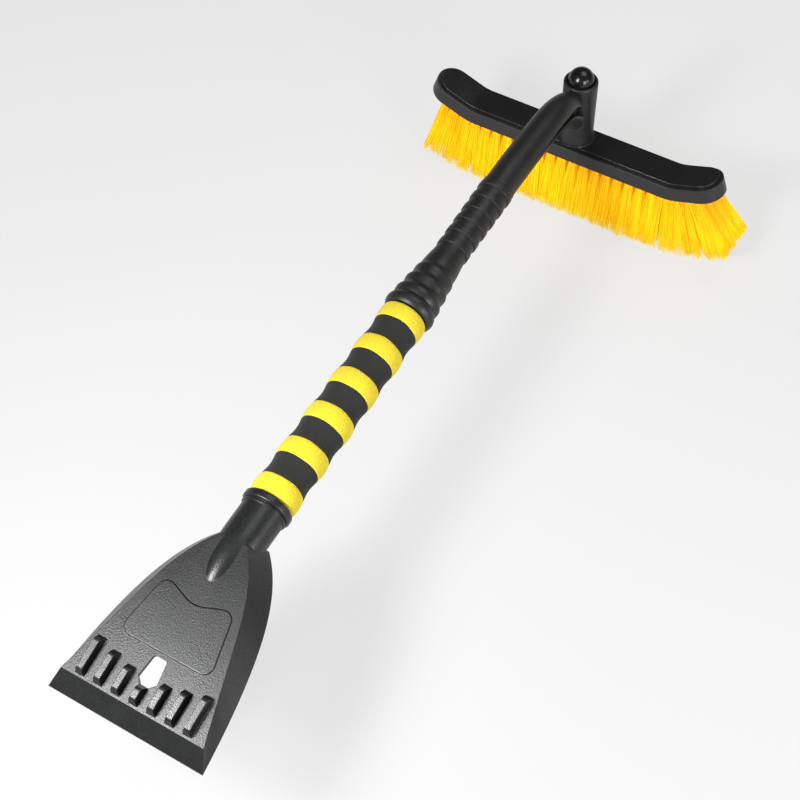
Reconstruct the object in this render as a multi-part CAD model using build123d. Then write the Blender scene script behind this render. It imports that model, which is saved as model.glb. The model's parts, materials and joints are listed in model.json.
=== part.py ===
from build123d import *
import os
from math import atan2, cos, pi, radians, sin, sqrt

# Two-in-one car snow tool: an ice scraper on a foam-gripped tube, and a brush half that
# plugs onto the tube's far end and carries a swivelling brush head.
# Frame: origin at the middle of the foam grip on the tube's axis. +X runs along the tube
# towards the brush, +Z is the side of the ice-breaker teeth and the push button.
# All sizes are in millimetres.

# ---- overall layout along the tube ----
grip_length = 172.5          # foam grip, end to end
blade_to_grip = 169.8        # blade edge to the near end of the grip
grip_to_post = 268.0         # far end of the grip to the swivel post, at the sleeve's rim
blade_width = 119.2
brush_length = 252.0

# ---- tube and its end plug ----
tube_diameter = 25.4
tube_wall = 1.2
socket_insertion = 38.0      # tube inside the scraper's socket
plug_in_length = 40.0        # tube inside the brush handle
plug_cap_height = 2.4
plug_depth = 12.0
plug_wall = 2.0

# ---- foam grip ----
yellow_band_length = 13.7
yellow_band_count = 6
grip_bulge_thickness = 4.9   # foam over the tube at the middle of a yellow band
grip_waist_thickness = 3.0   # and at the middle of a charcoal band
grip_end_round = 2.2

# ---- scraper head: plate and skirts ----
head_wall = 2.6
plate_front_height = -12.2   # plate surface carried on to the blade edge's station
plate_slope = 0.2            # rise per length, towards the neck
plate_front_setback = 11.5   # blade edge to the front line of the plate
plate_front_width = 109.6
plate_neck_width = 20.0
plate_length = 131.0         # blade edge to the plate's neck end
blade_height = -21.6         # blade edge below the tube's axis
rim_slope = 0.11             # the skirt's lower rim also rises towards the neck
rim_land = 1.8               # width of the skirt's lower rim
skirt_length = 142.0         # blade edge to the back of the skirt
skirt_back_width = 33.0

# ---- scraper head: nose, socket and flange ----
socket_wall = 3.1
socket_start = 140.5         # blade edge to where the bullet nose reaches full diameter
nose_length = 46.0
nose_core_length = 12.0      # hollow in the nose, past the tube's end
flange_rise = 2.3            # over the socket's outside
flange_length = 6.0
flange_gap = 0.8             # flange face to the foam
flange_round = 1.6
lip_rise = 1.0
lip_length = 1.6
lip_gap = 0.9                # lip to the flange
lip_round = 0.4

# ---- hanging hole ----
hole_near = 26.0             # blade edge to the hole's blade-side end
hole_length = 19.5
hole_wide = 14.2
hole_narrow = 9.9
hole_chamfer = 4.0
hole_corner = 2.2

# ---- ice-breaker teeth ----
tooth_count = 7
tooth_pitch = 13.7
tooth_start = 12.6           # blade edge to the teeth's blade-side ends
tooth_base_width = 7.0
tooth_top_width = 4.2
tooth_height = 6.8
tooth_sink = 1.2             # how far each tooth's foot reaches into the plate
tooth_lengths = (27.5, 24.0, 21.0, 14.0)   # outermost pair first, middle tooth last
tooth_front_run = 2.6        # how far the top stops short of the foot, blade side
tooth_back_run = 3.6
tooth_end_chamfer = 1.4

# ---- raised pad on the plate ----
pad_near = 48.2
pad_far = 90.5
pad_near_width = 71.0
pad_far_width = 53.6
pad_dip = 7.0
pad_height = 0.9
pad_corner = 7.0
pad_edge_round = 0.7

# ---- screw that holds the tube in the scraper's socket ----
head_screw_station = 20.0    # flange end of the socket to the screw
head_screw_shank = 3.0
head_screw_head = 6.4
head_screw_head_height = 2.0
head_screw_length = 8.0
head_screw_flat = 0.8        # depth of the flat under the head
head_screw_clearance = 0.3   # round the head, in the flat
cross_slot_length = 3.2
cross_slot_width = 0.9

# ---- snap button near the tube's plug-in end ----
snap_station = 11.0          # end of the foam to the button's axis
snap_diameter = 5.0
snap_proud = 1.5             # above the tube's surface
snap_clearance = 0.05
snap_flange_diameter = 8.0
snap_flange_thickness = 1.0
snap_spring_width = 5.0
snap_spring_thickness = 0.5
snap_spring_length = 26.0
snap_fold_radius = 1.5
keyway_side_clearance = 0.35
keyway_top_clearance = 0.3

# ---- brush handle: collar, rolls and ringed grip ----
handle_gap = 0.6             # foam end to the handle's mouth
tube_fit = 0.05              # radial clearance of the tube in the handle
socket_bottom_gap = 1.0
collar_wall = 6.5            # over the tube's outside
collar_length = 10.5
collar_mouth_drop = 2.2      # the collar's radius falls by this much at the mouth
roll_pitch = 11.0
roll_walls = (5.3, 4.0, 2.6)             # over the tube's outside, at each roll's crest
roll_groove_walls = (3.9, 3.2, 2.2, 1.2)  # and at each groove
roll_rise = 0.6              # slope of the first roll where it leaves the collar
grip_ring_count = 6
grip_ring_start = 64.8       # handle mouth to the first ring
grip_ring_width = 5.3
grip_ring_pitch = 12.1
grip_ring_diameter = 25.4
grip_ring_growth = 0.12      # radius gained from ring to ring
grip_ring_crown = 0.1        # rise of a ring's middle over its edges
ring_groove_depth = 0.8

# ---- brush handle: arm ----
arm_width = 24.6
arm_start_radius = 12.8
arm_overlap = 4.0
arm_shape = (                # share of the arm's run, middle height, half height, half width lost
    (0.00, 0.0, 12.8, 0.0),
    (0.20, -0.4, 12.6, 0.0),
    (0.41, -1.9, 12.2, 0.0),
    (0.62, -3.8, 12.0, 0.0),
    (0.79, -8.8, 14.0, 0.2),
    (0.90, -17.0, 17.5, 0.9),
    (1.00, -30.5, 21.5, 1.9))
web_thickness = 9.0
upper_rib = 9.6
lower_rib_share = 0.46       # of the arm's height, left under the web pockets
scallop_count = 4
scallop_start = 154.0
scallop_pitch = 21.5
scallop_radius = 9.5
scallop_depth = 2.2

# ---- swivel sleeve ----
post_tilt = 5.2              # degrees, the post leans towards +X at its button end
sleeve_rim_height = -7.8     # sleeve rim's centre, above the tube's axis
sleeve_wall = 2.4            # outside the counterbore
sleeve_rim_round = 1.6
sleeve_foot_flare = 0.8
sleeve_foot_height = 7.0
sleeve_length = 56.0
sleeve_to_back = 0.4         # sleeve foot to the brush cover's boss
rim_lip_length = 2.8
rim_mouth_chamfer = 1.1
counterbore_clearance = 0.25 # round the button's flange
bulkhead_depth = 27.0
bulkhead_thickness = 4.0

# ---- push button ----
button_diameter = 20.9
button_side_clearance = 0.15
button_dome_height = 10.6
button_straight = 0.3        # straight side above the sleeve's rim
button_crown = 3.4           # thickness of the dome's crown
button_lip_gap = 0.2
button_skirt = 10.0
button_wall = 2.2
button_flange_rise = 0.6

# ---- swivel spindle, screw, lock gear and spring ----
neck_diameter = 10.0
hub_diameter = 19.0
running_clearance = 0.06
axial_clearance = 0.3
spindle_flange_margin = 0.75 # flange past the spring's outside
spindle_flange_thickness = 1.6
spindle_hex = 9.0
gear_height = 6.0
gear_side_gap = 1.3          # gear's teeth to the counterbore
gear_tooth_depth = 1.2
gear_teeth = 12
gear_tooth_width = 2.4
gear_gap = 0.1
pivot_screw_shank = 4.0
pivot_screw_head = 7.6
pivot_screw_head_height = 2.6
pivot_screw_bite = 16.0      # screw below the spindle's seat
spring_wire = 1.1
spring_side_gap = 0.95       # coil to the spindle's corners
spring_turns = 3

# ---- brush head: block and cover ----
back_width = 31.0
block_thickness = 12.2
cover_thickness = 2.8
cover_inset = 2.8
end_round_margin = 0.1       # the round ends stop this far short of a full half circle
straight_half = 84.0         # middle of the head to the start of either bend
wing_angle = 20.0
bend_radius = 30.0           # of the cover's top face
boss_margin = 0.5            # boss past the sleeve's foot
boss_height = 1.2

# ---- brush head: bristles ----
tuft_columns = 24
tuft_rows = 4
tuft_column_pitch = 10.1
tuft_row_pitch = 7.6
tuft_root_diameter = 4.4
tuft_hole_depth = 7.0
tuft_gap = 0.1               # tuft's end to the bottom of its hole
tuft_straight = 1.0          # the bundle stays round this far out of the block
tuft_free_length = 53.0
tuft_tip_length = 9.2        # along the head
tuft_tip_width = 10.0        # across the head
tuft_row_fan = 3.5           # degrees between the leans of neighbouring rows
left_end_lean = 14.0         # lean of the end tufts at +Y
right_end_lean = 37.0        # lean of the end tufts at -Y

# ---- places worked out from the sizes above ----
grip_end = grip_length / 2
blade_x = -grip_end - blade_to_grip
tube_radius = tube_diameter / 2
tube_bore = tube_radius - tube_wall
socket_radius = tube_radius + socket_wall
flange_end = -grip_end - flange_gap
tube_near = flange_end - socket_insertion
tube_far = grip_end + plug_in_length
handle_x = grip_end + handle_gap
button_flange_radius = button_diameter / 2 + button_flange_rise
counterbore_radius = button_flange_radius + counterbore_clearance
sleeve_radius = counterbore_radius + sleeve_wall
sleeve_foot_radius = sleeve_radius + sleeve_foot_flare
gear_radius = counterbore_radius - gear_side_gap
spring_radius = spindle_hex / sqrt(3) + spring_side_gap + spring_wire / 2
rim_centre = Vector(grip_end + grip_to_post, 0, sleeve_rim_height)
head_height = sleeve_length + sleeve_to_back + boss_height   # rim to the cover's top face
black_band_length = (grip_length - yellow_band_count * yellow_band_length) / (yellow_band_count - 1)


def place_on_post(shape):
    """Moves a shape from post coordinates (rim centre at zero, +Z out of the button) to the tool."""
    return Location(rim_centre, (0, post_tilt, 0)) * shape


def disc(radius, low, high):
    """A cylinder about Z between two heights."""
    return Pos(0, 0, low) * Cylinder(radius, high - low, align=(Align.CENTER, Align.CENTER, Align.MIN))


def rod(radius, low, high):
    """A cylinder about X between two stations."""
    return Rot(0, 90, 0) * disc(radius, low, high)


# ======================================================================================
# Scraper half
# ======================================================================================

plate_turn = sqrt(1 + plate_slope**2)    # length along the plate per length along the tube
plate_normal = Vector(-plate_slope, 0, 1).normalized()


def plate_height(station):
    """Height of the plate's top surface at a distance from the blade edge."""
    return plate_front_height + plate_slope * station


def rim_height(station):
    """Height of the skirt's lower rim at a distance from the blade edge."""
    return blade_height + rim_slope * station


def bell_face(near, far, near_width, far_width, shoulder, height, lift=0.0):
    """A bell-shaped face with a straight front and curved sides that close towards the neck.

    shoulder holds pairs: the share of the length from the front, and the share of the
    difference between front and neck width that is left there.
    """
    side = []
    for length_share, width_share in shoulder:
        station = near + length_share * (far - near)
        half = (far_width + (near_width - far_width) * width_share) / 2
        side.append(Vector(blade_x + station, half, height(station) + lift))
    left = Spline(*side)
    right = Spline(*[Vector(p.X, -p.Y, p.Z) for p in side])
    front = Line(right @ 0, left @ 0)
    back = Line(left @ 1, right @ 1)
    return Face(Wire([front, left, back, right]))


plate_shoulder = ((0, 1), (0.27, 0.795), (0.53, 0.605), (0.755, 0.405), (0.9, 0.2), (1, 0))
rim_shoulder = ((0, 1), (0.2, 0.935), (0.45, 0.81), (0.68, 0.62), (0.87, 0.34), (1, 0))


def head_tray():
    """The sloping plate with its lip and flaring skirts, open underneath."""
    outside = loft([
        bell_face(0, skirt_length, blade_width, skirt_back_width, rim_shoulder, rim_height),
        bell_face(plate_front_setback, plate_length, plate_front_width, plate_neck_width,
                  plate_shoulder, plate_height)], ruled=True)
    inside = loft([
        bell_face(rim_land, skirt_length - rim_land, blade_width - 2 * rim_land,
                  skirt_back_width - 2 * rim_land, rim_shoulder, rim_height),
        bell_face(plate_front_setback + head_wall, plate_length - head_wall,
                  plate_front_width - 2 * head_wall, plate_neck_width - 2 * head_wall,
                  plate_shoulder, plate_height, lift=-head_wall)], ruled=True)
    return outside - inside


def plate_plane(station, lift=0.0):
    """A plane on the plate's surface: its X runs up the plate and its Z out of it."""
    origin = Vector(blade_x + station, 0, plate_height(station)) + plate_normal * lift
    return Plane(origin=origin, x_dir=(1, 0, plate_slope), z_dir=plate_normal)


def crest_edges(bar):
    """Edges of the topmost face that lies parallel to the plate."""
    level = bar.faces().filter_by(lambda f: abs(f.normal_at().dot(plate_normal)) > 0.999)
    return level.sort_by(Axis.Z)[-1].edges()


def tooth(side, length):
    """One ice-breaker tooth: a tapered bar whose top edges fall away at both ends."""
    half = length * plate_turn / 2
    base = plate_plane(tooth_start + length / 2, -tooth_sink) * Pos(0, side, 0)
    foot = base * Rectangle(2 * half, tooth_base_width)
    top_length = 2 * half - tooth_front_run - tooth_back_run
    shift = (tooth_front_run - tooth_back_run) / 2
    top = base * Pos(shift, 0, tooth_height + tooth_sink) * Rectangle(top_length, tooth_top_width)
    bar = loft([foot.face(), top.face()], ruled=True)
    return chamfer(crest_edges(bar).filter_by(Axis.Y), tooth_end_chamfer)


def hang_hole():
    """A coffin-shaped prism through the plate, wide at the blade side."""
    far = hole_length * plate_turn
    outline = [(0, hole_wide / 2 - hole_chamfer), (hole_chamfer, hole_wide / 2), (far, hole_narrow / 2),
               (far, -hole_narrow / 2), (hole_chamfer, -hole_wide / 2), (0, hole_chamfer - hole_wide / 2)]
    sketch = make_face(Polyline(*outline, close=True))
    neck_corners = sketch.vertices().sort_by(Axis.X)[-2:]
    sketch = fillet(neck_corners, hole_corner)
    return extrude(plate_plane(hole_near) * sketch, amount=3 * head_wall, both=True)


def raised_pad():
    """The shallow pad between the teeth and the nose, its far edge curving round the nose."""
    far = (pad_far - pad_near) * plate_turn
    near_half, far_half = pad_near_width / 2, pad_far_width / 2
    dip = Spline((far, far_half), (far - pad_dip * 0.55, far_half * 0.45), (far - pad_dip, 0),
                 (far - pad_dip * 0.55, -far_half * 0.45), (far, -far_half))
    rest = Polyline((far, -far_half), (0, -near_half), (0, near_half), (far, far_half))
    sketch = make_face(Curve() + [dip, rest])
    sketch = fillet(sketch.vertices().filter_by(lambda v: abs(v.Y) > far_half * 0.9), pad_corner)
    pad = extrude(plate_plane(pad_near, -pad_height) * sketch, amount=2 * pad_height)
    return fillet(crest_edges(pad), pad_edge_round)


def make_scraper_head():
    socket_x = blade_x + socket_start
    flange_near = flange_end - flange_length
    lip_near = flange_near - lip_gap - lip_length
    nose = Polyline((socket_x, 0), (socket_x - nose_length, 0))
    nose_curve = EllipticalCenterArc((socket_x, 0), nose_length, socket_radius,
                                     start_angle=90, arc_size=90)
    nose_face = make_face(Curve() + [nose, nose_curve, Line((socket_x, 0), (socket_x, socket_radius))])
    bullet = revolve(nose_face, Axis.X, 360)
    barrel = rod(socket_radius, socket_x, flange_end)
    lip = fillet(rod(socket_radius + lip_rise, lip_near, lip_near + lip_length).edges(), lip_round)
    flange = fillet(rod(socket_radius + flange_rise, flange_near, flange_end).edges(), flange_round)
    shape = head_tray() + bullet + barrel + lip + flange + raised_pad()
    for index in range(tooth_count):
        place = index - (tooth_count - 1) / 2
        step = (tooth_count - 1) // 2 - int(abs(place))
        shape += tooth(place * tooth_pitch, tooth_lengths[step])
    shape -= hang_hole()
    shape -= rod(tube_radius, tube_near, flange_end + 1)
    shape -= rod(tube_bore - head_wall, tube_near - nose_core_length, tube_near)
    shape -= head_screw_cut()
    return shape


def head_screw_seat():
    """Height of the flat that the socket screw's head bears on."""
    return -socket_radius + head_screw_flat


def head_screw_cut():
    x = flange_end - head_screw_station
    bore = Pos(x, 0, 0) * disc(head_screw_shank / 2, -2 * socket_radius, 0)
    flat_radius = head_screw_head / 2 + head_screw_clearance
    flat = Pos(x, 0, 0) * disc(flat_radius, -2 * socket_radius, head_screw_seat())
    return bore + flat


def make_head_screw():
    seat = head_screw_seat()
    head = disc(head_screw_head / 2, seat - head_screw_head_height, seat)
    head = fillet(head.faces().sort_by(Axis.Z)[0].edges(), head_screw_head_height * 0.45)
    shank = disc(head_screw_shank / 2, seat, seat + head_screw_length)
    shank = chamfer(shank.faces().sort_by(Axis.Z)[-1].edges(), head_screw_shank * 0.3)
    recess_depth = head_screw_head_height * 0.7
    bottom = seat - head_screw_head_height
    slot = Pos(0, 0, bottom) * Box(cross_slot_length, cross_slot_width, 2 * recess_depth)
    screw = head + shank - slot - Rot(0, 0, 90) * slot
    return Pos(flange_end - head_screw_station, 0, 0) * screw


def make_handle_tube():
    tube = rod(tube_radius, tube_near, tube_far) - rod(tube_bore, tube_near - 1, tube_far + 1)
    tube -= Pos(grip_end + snap_station, 0, 0) * disc(snap_diameter / 2 + snap_clearance, 0, tube_diameter)
    tube -= Pos(flange_end - head_screw_station, 0, 0) * disc(head_screw_shank / 2, -tube_diameter, 0)
    return tube


def make_tube_plug():
    cap = rod(tube_radius, tube_far, tube_far + plug_cap_height)
    cap = fillet(cap.faces().sort_by(Axis.X)[-1].edges(), plug_cap_height * 0.8)
    skirt = rod(tube_bore, tube_far - plug_depth, tube_far)
    skirt -= rod(tube_bore - plug_wall, tube_far - plug_depth - 1, tube_far)
    return cap + skirt


# the button's flange sits just under the tube's curved inside
snap_flange_top = sqrt(tube_bore**2 - (snap_flange_diameter / 2)**2) - snap_clearance


def make_snap_button():
    top = tube_radius + snap_proud
    pin = disc(snap_diameter / 2, snap_flange_top, top)
    pin = fillet(pin.faces().sort_by(Axis.Z)[-1].edges(), snap_diameter * 0.28)
    flange = disc(snap_flange_diameter / 2, snap_flange_top - snap_flange_thickness, snap_flange_top)
    return Pos(grip_end + snap_station, 0, 0) * (pin + flange)


def make_snap_spring():
    """A folded leaf: its lower leg lies in the tube and its upper leg lifts the button."""
    under = snap_flange_top - snap_flange_thickness - snap_clearance
    floor = sqrt(tube_bore**2 - (snap_spring_width / 2)**2) - snap_clearance
    x = grip_end + snap_station
    end = x + snap_flange_diameter / 2
    fold = end - snap_spring_length
    half = snap_spring_thickness / 2
    path = FilletPolyline((end, 0, under - half), (x - snap_flange_diameter / 2, 0, under - half),
                          (fold, 0, 0), (x - snap_spring_length / 3, 0, half - floor),
                          (end, 0, half - floor), radius=snap_fold_radius)
    start = Plane(origin=path @ 0, z_dir=path % 0, x_dir=(0, 1, 0))
    return sweep(start * Rectangle(snap_spring_width, snap_spring_thickness), path=path)


def grip_radius(x):
    """Wavy outside of the foam: a bulge at the middle of each yellow band."""
    first_middle = -grip_end + yellow_band_length / 2
    wave = cos(2 * pi * (x - first_middle) / (yellow_band_length + black_band_length))
    swing = (grip_bulge_thickness - grip_waist_thickness) / 2
    return tube_radius + (grip_bulge_thickness + grip_waist_thickness) / 2 + wave * swing


def foam_band(low, high, round_low=False, round_high=False):
    """One ring of the laminated foam sleeve, between two stations."""
    steps = 4
    stations = [low + (high - low) * i / steps for i in range(steps + 1)]
    outline = Spline(*[(x, grip_radius(x)) for x in stations])
    sides = Polyline(outline @ 1, (high, tube_radius), (low, tube_radius), outline @ 0)
    band = revolve(make_face(Curve() + [outline, sides]), Axis.X, 360)
    rims = [e for e in band.edges().filter_by(GeomType.CIRCLE) if e.radius > tube_radius + grip_end_round]
    if round_low:
        band = fillet([e for e in rims if abs(e.arc_center.X - low) < 0.01], grip_end_round)
    if round_high:
        band = fillet([e for e in rims if abs(e.arc_center.X - high) < 0.01], grip_end_round)
    return band


# ======================================================================================
# Brush handle
# ======================================================================================

def handle_outline():
    """Turned outside of the handle from its mouth to the end of the ringed grip."""
    collar = tube_radius + collar_wall
    mouth = (0, collar - collar_mouth_drop)
    wave = [(collar_length, tube_radius + roll_groove_walls[0])]
    for index, (crest, groove) in enumerate(zip(roll_walls, roll_groove_walls[1:])):
        start = collar_length + index * roll_pitch
        wave.append((start + roll_pitch / 2, tube_radius + crest))
        wave.append((start + roll_pitch, tube_radius + groove))
    wave.append((grip_ring_start, grip_ring_diameter / 2 - ring_groove_depth))
    level = [(1, 0)] * (len(wave) - 1)
    edges = [ThreePointArc(mouth, (collar_length / 2, collar), wave[0])]
    edges.append(Spline(*wave, tangents=[(1, roll_rise)] + level))
    for index in range(grip_ring_count):
        low = edges[-1] @ 1
        x0 = grip_ring_start + index * grip_ring_pitch
        x1 = x0 + grip_ring_width
        radius = grip_ring_diameter / 2 + grip_ring_growth * index
        edges.append(Line(low, (x0, radius)))
        edges.append(ThreePointArc((x0, radius), ((x0 + x1) / 2, radius + grip_ring_crown), (x1, radius)))
        if index < grip_ring_count - 1:
            floor = radius + grip_ring_growth - ring_groove_depth
            edges.append(Line((x1, radius), (x1, floor)))
            edges.append(Line((x1, floor), (x0 + grip_ring_pitch, floor)))
    end = edges[-1] @ 1
    edges.append(Line(end, (end.X, arm_start_radius)))
    edges.append(Line((end.X, arm_start_radius), (end.X + arm_overlap, arm_start_radius)))
    edges.append(Polyline((end.X + arm_overlap, arm_start_radius), (end.X + arm_overlap, 0), (0, 0),
                          mouth))
    return edges


def arm_sections():
    """Ellipses along the arm: distance from the mouth, middle height, half height, half width."""
    start = grip_ring_start + (grip_ring_count - 1) * grip_ring_pitch + grip_ring_width
    run = grip_to_post - handle_gap - sleeve_radius - start
    return [(start + share * run, middle, half_height, arm_width / 2 - lost)
            for share, middle, half_height, lost in arm_shape]


def make_arm():
    faces = []
    for x, middle, half_height, half_width in arm_sections():
        plane = Plane(origin=(handle_x + x, 0, middle), x_dir=(0, 1, 0), z_dir=(1, 0, 0))
        faces.append((plane * Ellipse(half_width, half_height)).face())
    return loft(faces)


def web_pockets():
    """Recesses on both flanks, between the arm's upper rib and its lower branch."""
    sections = arm_sections()[2:]
    upper, lower = [], []
    for x, middle, half_height, _ in sections[1:]:
        upper.append((handle_x + x, middle + half_height - upper_rib))
        lower.append((handle_x + x, middle - half_height * (1 - 2 * lower_rib_share)))
    tip = (handle_x + sections[0][0], sections[0][1])
    reach = sleeve_radius * 2 / 3
    upper.append((upper[-1][0] + reach, upper[-1][1] - reach * 0.3))
    lower.append((lower[-1][0] + reach, lower[-1][1] - reach * 1.3))
    outline = Curve() + [Spline(tip, *upper), Line(upper[-1], lower[-1]), Spline(tip, *lower)]
    sketch = Plane.XZ * make_face(outline)
    pocket = extrude(sketch, amount=arm_width / 2, both=True)
    sideways = (web_thickness + arm_width) / 2
    return Pos(0, sideways, 0) * pocket + Pos(0, -sideways, 0) * pocket


def finger_scallops():
    """Thumbprint hollows along the arm's brush side."""
    hollows = Part()
    stations = [(x, middle - half) for x, middle, half, _ in arm_sections()]
    for index in range(scallop_count):
        x = scallop_start + index * scallop_pitch
        for (x0, z0), (x1, z1) in zip(stations, stations[1:]):
            if x0 <= x <= x1:
                bottom = z0 + (z1 - z0) * (x - x0) / (x1 - x0)
        hollows += Pos(handle_x + x, 0, bottom + scallop_depth - scallop_radius) * Sphere(scallop_radius)
    return hollows


def make_sleeve():
    """The swivel sleeve's outside, in post coordinates."""
    tube = disc(sleeve_radius, -sleeve_length, 0)
    tube = fillet(tube.faces().sort_by(Axis.Z)[-1].edges(), sleeve_rim_round)
    foot = Pos(0, 0, -sleeve_length) * Cone(sleeve_foot_radius, sleeve_radius, sleeve_foot_height,
                                            align=(Align.CENTER, Align.CENTER, Align.MIN))
    return tube + foot


def sleeve_bores():
    """Everything that is hollow in the sleeve, in post coordinates."""
    lip_bore = button_diameter / 2 + button_side_clearance
    lip = disc(lip_bore, -rim_lip_length, 1)
    mouth = Pos(0, 0, -rim_mouth_chamfer) * Cone(lip_bore, lip_bore + rim_mouth_chamfer, rim_mouth_chamfer,
                                                 align=(Align.CENTER, Align.CENTER, Align.MIN))
    chamber = disc(counterbore_radius, -bulkhead_depth, -rim_lip_length)
    bulkhead_foot = -bulkhead_depth - bulkhead_thickness
    passage = disc(neck_diameter / 2 + running_clearance, bulkhead_foot, -bulkhead_depth)
    hub_bore = disc(hub_diameter / 2 + running_clearance, -sleeve_length - 1, bulkhead_foot)
    return lip + mouth + chamber + passage + hub_bore


def make_brush_handle():
    turned_part = Pos(handle_x, 0, 0) * revolve(make_face(Curve() + handle_outline()), Axis.X, 360)
    shape = turned_part + (make_arm() - web_pockets())
    shape += place_on_post(make_sleeve())
    shape -= finger_scallops()
    shape -= place_on_post(sleeve_bores())
    bore_end = tube_far + plug_cap_height + socket_bottom_gap
    shape -= rod(tube_radius + tube_fit, handle_x - 1, bore_end)
    key_width = snap_diameter + 2 * keyway_side_clearance
    key_end = grip_end + snap_station + key_width / 2
    key_top = tube_radius + snap_proud + keyway_top_clearance
    keyway = Pos(handle_x - 1, 0, 0) * Box(key_end - key_width / 2 - handle_x + 1, key_width, key_top,
                                          align=(Align.MIN, Align.CENTER, Align.MIN))
    keyway += Pos(key_end - key_width / 2, 0, 0) * disc(key_width / 2, 0, key_top)
    return shape - keyway


# ======================================================================================
# Swivel lock, in post coordinates before it is placed
# ======================================================================================

def make_push_button():
    """A domed cap, open below, with a snap flange that catches under the sleeve's rim lip."""
    radius = button_diameter / 2
    flange = button_flange_radius
    inner = radius - button_wall
    flange_top = -rim_lip_length - button_lip_gap
    ceiling = button_dome_height - button_crown
    outline = Polyline((radius, button_straight), (radius, flange_top),
                       (flange, flange_top - (flange - radius)), (flange, -button_skirt),
                       (inner, -button_skirt), (inner, ceiling - button_wall),
                       (inner - button_wall, ceiling), (0, ceiling), (0, button_dome_height))
    cap_height = button_dome_height - button_straight
    cap_radius = (radius**2 + cap_height**2) / (2 * cap_height)
    cap_centre = button_dome_height - cap_radius
    middle = (atan2(cap_height - cap_radius, radius) + pi / 2) / 2
    dome = ThreePointArc((radius, button_straight),
                         (cap_radius * cos(middle), cap_centre + cap_radius * sin(middle)),
                         (0, button_dome_height))
    return revolve(Plane.XZ * make_face(Curve() + [outline, dome]), Axis.Z, 360)


def hexagon(across_flats):
    return RegularPolygon(across_flats / 2, 6, major_radius=False)


spindle_seat = -bulkhead_depth + axial_clearance
gear_top = -button_skirt - gear_gap      # also the top of the spindle


def make_hex_spindle():
    flange_radius = spring_radius + spring_wire / 2 + spindle_flange_margin
    flange = disc(flange_radius, spindle_seat, spindle_seat + spindle_flange_thickness)
    post = extrude(Pos(0, 0, spindle_seat) * hexagon(spindle_hex), amount=gear_top - spindle_seat)
    bore = disc(pivot_screw_shank / 2, spindle_seat - 1, 0)
    return flange + post - bore


def make_pivot_screw():
    head_top = gear_top + pivot_screw_head_height
    head = disc(pivot_screw_head / 2, gear_top, head_top)
    head = fillet(head.faces().sort_by(Axis.Z)[-1].edges(), pivot_screw_head_height * 0.4)
    shank = disc(pivot_screw_shank / 2, spindle_seat - pivot_screw_bite, gear_top)
    shank = chamfer(shank.faces().sort_by(Axis.Z)[0].edges(), pivot_screw_shank * 0.3)
    recess = Pos(0, 0, head_top) * Box(cross_slot_length, cross_slot_width, pivot_screw_head_height)
    return head + shank - recess - Rot(0, 0, 90) * recess


def make_lock_gear():
    low = gear_top - gear_height
    ring = disc(gear_radius - gear_tooth_depth, low, gear_top)
    tooth_bar = Box(gear_radius, gear_tooth_width, gear_height,
                    align=(Align.MIN, Align.CENTER, Align.MIN))
    for index in range(gear_teeth):
        ring += Rot(0, 0, 360 * index / gear_teeth) * Pos(0, 0, low) * tooth_bar
    bore = extrude(Pos(0, 0, low - 1) * hexagon(spindle_hex + 2 * running_clearance), amount=gear_height + 2)
    return ring - bore


def make_lock_spring():
    end_gap = (spring_wire + gear_gap) / 2
    low = spindle_seat + spindle_flange_thickness + end_gap
    high = gear_top - gear_height - end_gap
    coil = Helix(pitch=(high - low) / spring_turns, height=high - low, radius=spring_radius)
    path = Pos(0, 0, low) * coil
    start = Plane(origin=path @ 0, z_dir=path % 0)
    return sweep(start * Circle(spring_wire / 2), path=path)


# ======================================================================================
# Brush head, in post coordinates: its length lies along Y
# ======================================================================================

back_top = -head_height                  # the cover's top face
wing_reach = brush_length / 2 - straight_half - bend_radius * sin(radians(wing_angle))
wing_straight = wing_reach / cos(radians(wing_angle))


def surface_point(along, depth):
    """Point on the bent back at a depth under the cover's top face.

    along is measured on that surface from the middle of the head.
    """
    side = 1 if along >= 0 else -1
    run = abs(along)
    turn = radians(wing_angle)
    radius = bend_radius + depth
    if run <= straight_half:
        return Vector(0, side * run, back_top - depth)
    run -= straight_half
    angle = min(run / radius, turn)
    y = straight_half + radius * sin(angle)
    z = back_top + bend_radius - radius * cos(angle)
    left = run - angle * radius
    y += left * cos(angle)
    z += left * sin(angle)
    return Vector(0, side * y, z)


def bent_slab(top_depth, bottom_depth, end_inset, width, corner):
    """A slab that follows the back's bends, between two depths, with rounded ends."""
    turn = radians(wing_angle)
    edges = []
    corners = {}
    for depth in (top_depth, bottom_depth):
        radius = bend_radius + depth
        y1 = straight_half + radius * sin(turn)
        z1 = back_top + bend_radius - radius * cos(turn)
        y2 = y1 + (wing_straight - end_inset) * cos(turn)
        z2 = z1 + (wing_straight - end_inset) * sin(turn)
        ym = straight_half + radius * sin(turn / 2)
        zm = back_top + bend_radius - radius * cos(turn / 2)
        z0 = back_top - depth
        edges.append(Line((-straight_half, z0), (straight_half, z0)))
        for side in (-1, 1):
            edges.append(ThreePointArc((side * straight_half, z0), (side * ym, zm), (side * y1, z1)))
            edges.append(Line((side * y1, z1), (side * y2, z2)))
            corners[side, depth] = (side * y2, z2)
    for side in (-1, 1):
        edges.append(Line(corners[side, top_depth], corners[side, bottom_depth]))
    face = Plane.YZ * make_face(Curve() + edges)
    slab = extrude(face, amount=width / 2, both=True)
    thickness = bottom_depth - top_depth
    ends = slab.edges().filter_by(GeomType.LINE).filter_by(lambda e: abs(e.length - thickness) < 0.01)
    return fillet(ends, corner)


def tuft_lean(along):
    """Lean of a tuft along the head: none on the straight middle, growing over each wing."""
    last = (tuft_columns - 1) / 2 * tuft_column_pitch
    share = max(0.0, (abs(along) - straight_half) / (last - straight_half))
    return radians(left_end_lean * share if along > 0 else -right_end_lean * share)


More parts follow.
